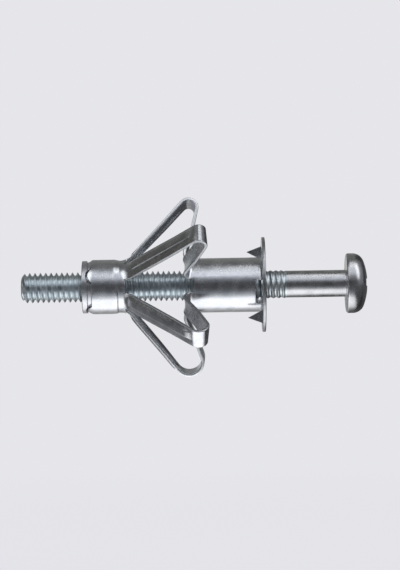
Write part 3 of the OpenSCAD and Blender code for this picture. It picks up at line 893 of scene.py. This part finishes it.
def floorMaterial():
    material = bpy.data.materials.new("paleMattFloor")
    tree = emptyTree(material)
    path = addNode(tree, "ShaderNodeLightPath")
    coord = addNode(tree, "ShaderNodeTexCoord")
    split = addNode(tree, "ShaderNodeSeparateXYZ", None, {0: coord.outputs["Object"]})
    ring = addRing(tree, split.outputs["Y"], split.outputs["Z"])
    away = addNode(tree, "ShaderNodeMath", {"operation": "SUBTRACT", 1: stage["poolMiddle"] * mm},
                   {0: split.outputs["X"]})
    away = addNode(tree, "ShaderNodeMath", {"operation": "ABSOLUTE"}, {0: away.outputs[0]})
    slope = addNode(tree, "ShaderNodeMath", {"operation": "DIVIDE"},
                    {0: split.outputs["Y"], 1: split.outputs["X"]})
    reach = addNode(tree, "ShaderNodeVectorMath", {"operation": "LENGTH"}, {0: coord.outputs["Object"]})
    half, edge = stage["poolHalf"], stage["poolEdge"]
    # each ramp: what it reads, from where to where, and the level at either end
    ramps = {
        "beside": (away.outputs[0], inMm((half - edge, half + edge)), whole),
        "tableFront": (split.outputs["Y"], inMm(stage["tableY"]), (0.0, stage["tableLevel"])),
        "tableSlope": (slope.outputs[0], stage["tableSlope"], whole),
        "tableWide": (slope.outputs[0], stage["tableWide"], whole),
        "tableFar": (away.outputs[0], inMm(stage["tableFar"]), whole),
        "leftBack": (split.outputs["Y"], inMm(stage["leftY"]), (stage["floorDark"], stage["leftLevel"])),
        "dimAlong": (split.outputs["X"], inMm(stage["dimX"]), (0.0, stage["dimShare"])),
        "dimBack": (split.outputs["Y"], inMm(stage["dimY"]), whole),
        "shadow": (reach.outputs["Value"], inMm(stage["shadowReach"]), (1 - stage["shadowShare"], 1.0)),
    }
    for name, (source, places, levels) in ramps.items():
        ramp = addNode(tree, "ShaderNodeMapRange", {**rangeOf(places, levels), **smooth}, {"Value": source})
        ramps[name] = ramp.outputs["Result"]
    # what metal sees, painted on the floor as light: the ring's light in a pool under the object, a lit table
    # on both sides of it
    tableShare = ramps["tableFront"]
    for operation, name in (("MULTIPLY", "tableSlope"), ("MULTIPLY", "tableWide"), ("MULTIPLY", "tableFar"),
                            ("MAXIMUM", "leftBack")):
        both = addNode(tree, "ShaderNodeMath", {"operation": operation}, {0: tableShare, 1: ramps[name]})
        tableShare = both.outputs[0]
    table = addNode(tree, "ShaderNodeVectorMath", {"operation": "SCALE", 0: pale[:3]},
                    {"Scale": tableShare})
    inMetal = addNode(tree, "ShaderNodeMix", {"data_type": "RGBA"},
                      {"Factor": ramps["beside"], "A": ring.outputs["Color"], "B": table.outputs["Vector"]})
    # painted shade in what metal sees, behind the screw's head
    dim = addNode(tree, "ShaderNodeMath", {"operation": "MULTIPLY"},
                  {0: ramps["dimAlong"], 1: ramps["dimBack"]})
    inMetal = addNode(tree, "ShaderNodeMix", {"data_type": "RGBA", "B": black},
                      {"Factor": dim.outputs[0], "A": inMetal.outputs["Result"]})
    color = addNode(tree, "ShaderNodeMix", {"data_type": "RGBA", "A": pale},
                    {"Factor": path.outputs["Is Glossy Ray"], "B": inMetal.outputs["Result"]})
    glow = addNode(tree, "ShaderNodeEmission", {"Strength": 1.0}, {"Color": color.outputs["Result"]})
    # the camera sees mostly glow, and near the object a share of matt floor, which holds the shadow
    matt = addNode(tree, "ShaderNodeBsdfDiffuse", {"Color": pale})
    seen = addNode(tree, "ShaderNodeMath", {"operation": "MAXIMUM"},
                   {0: path.outputs["Is Camera Ray"], 1: path.outputs["Is Transmission Ray"]})
    share = addNode(tree, "ShaderNodeMath", {"operation": "MULTIPLY"},
                    {0: seen.outputs[0], 1: ramps["shadow"]})
    share = addNode(tree, "ShaderNodeMath", {"operation": "MAXIMUM"},
                    {0: share.outputs[0], 1: path.outputs["Is Glossy Ray"]})
    mixed = addNode(tree, "ShaderNodeMixShader", None,
                    {"Fac": share.outputs[0], 1: matt.outputs[0], 2: glow.outputs[0]})
    addNode(tree, "ShaderNodeOutputMaterial", None, {"Surface": mixed.outputs[0]})
    return material


def makeFloor():
    bm = bmesh.new()
    bmesh.ops.create_circle(bm, cap_ends=True, segments=stage["floorSides"], radius=stage["floorRadius"] * mm)
    bmesh.ops.translate(bm, verts=bm.verts, vec=(0, 0, stage["floorDrop"] * mm))
    mesh = bpy.data.meshes.new("floor")
    bm.to_mesh(mesh)
    bm.free()
    mesh.materials.append(floorMaterial())
    putInScene("floor", mesh)


def makeWorld():
    world = bpy.data.worlds.new("studio")
    bpy.context.scene.world = world
    tree = emptyTree(world)
    path = addNode(tree, "ShaderNodeLightPath")
    coord = addNode(tree, "ShaderNodeTexCoord")
    split = addNode(tree, "ShaderNodeSeparateXYZ", None, {0: coord.outputs["Generated"]})
    room = addRing(tree, split.outputs["Y"], split.outputs["Z"]).outputs["Color"]
    near, far = roomSides["from"], roomSides["to"]
    ramps = {
        "left": (split.outputs["X"], (-near, -far), whole),
        "right": (split.outputs["X"], (near, far), whole),
        "dimRight": (split.outputs["X"], roomSides["dimRight"], (0.0, roomSides["dimShare"])),
        "dimBack": (split.outputs["Y"], roomSides["dimBack"], whole),
    }
    for name, (source, places, levels) in ramps.items():
        ramp = addNode(tree, "ShaderNodeMapRange", {**rangeOf(places, levels), **smooth}, {"Value": source})
        ramps[name] = ramp.outputs["Result"]
    for side in ("left", "right"):
        mixed = addNode(tree, "ShaderNodeMix", {"data_type": "RGBA", "B": hexColor(roomSides[side])},
                        {"Factor": ramps[side], "A": room})
        room = mixed.outputs["Result"]
    dim = addNode(tree, "ShaderNodeMath", {"operation": "MULTIPLY"},
                  {0: ramps["dimRight"], 1: ramps["dimBack"]})
    dimmed = addNode(tree, "ShaderNodeMix", {"data_type": "RGBA", "B": black},
                     {"Factor": dim.outputs[0], "A": room})
    seen = addNode(tree, "ShaderNodeMix", {"data_type": "RGBA", "A": pale},
                   {"Factor": path.outputs["Is Glossy Ray"], "B": dimmed.outputs["Result"]})
    light = addNode(tree, "ShaderNodeBackground", None, {"Color": seen.outputs["Result"]})
    addNode(tree, "ShaderNodeOutputWorld", None, {"Surface": light.outputs[0]})


lamps = {
    "keySoftbox": {"place": (72, -62, 228), "aim": (72, 0, 0), "size": (90, 106), "watts": 0.018},
    "shankSoftbox": {"place": (18, -62, 226), "aim": (18, 0, 0), "size": (18, 104), "watts": 0.0095},
    "stripSoftbox": {"place": (-5, -136, 150), "aim": (-5, 0, 0), "size": (16, 90), "watts": 0.0048},
    "sideSoftbox": {"place": (175, -129, 184), "aim": (60, 0, 0), "size": (130, 290), "watts": 0.14},
    "fillSoftbox": {"place": (-165, -135, 180), "aim": (-60, 0, 0), "size": (120, 210), "watts": 0.08},
    # a sheet of light just over the floor, shining up at the object
    "lightTable": {"place": (-6, -10, stage["floorDrop"] + 1), "aim": (-6, -10, 0), "size": (62, 44),
                   "watts": 0.0046},
}
view = {"place": (-8.09, -300.0, 0.06), "rollDeg": 0.9, "lens": 144.76, "sensor": 36.0, "clip": (0.01, 20.0)}


def makeLamp(name, lamp):
    data = bpy.data.lights.new(name, "AREA")
    data.shape = "RECTANGLE"
    data.size, data.size_y = inMm(lamp["size"])
    data.energy = lamp["watts"]
    softbox = putInScene(name, data)
    softbox.location = Vector(lamp["place"]) * mm
    softbox.rotation_mode = "QUATERNION"
    softbox.rotation_quaternion = (Vector(lamp["aim"]) - Vector(lamp["place"])).to_track_quat("-Z", "Y")


def makeCamera():
    data = bpy.data.cameras.new("camera")
    data.sensor_width = view["sensor"]
    data.lens = view["lens"]
    data.clip_start, data.clip_end = view["clip"]
    camera = putInScene("camera", data)
    camera.location = Vector(view["place"]) * mm
    camera.rotation_euler = (pi / 2, radians(view["rollDeg"]), 0)
    bpy.context.scene.camera = camera


makeFloor()
makeWorld()
makeCamera()
for entry in lamps.items():
    makeLamp(*entry)
bpy.context.scene.view_settings.view_transform = "Standard"
print("stage made")
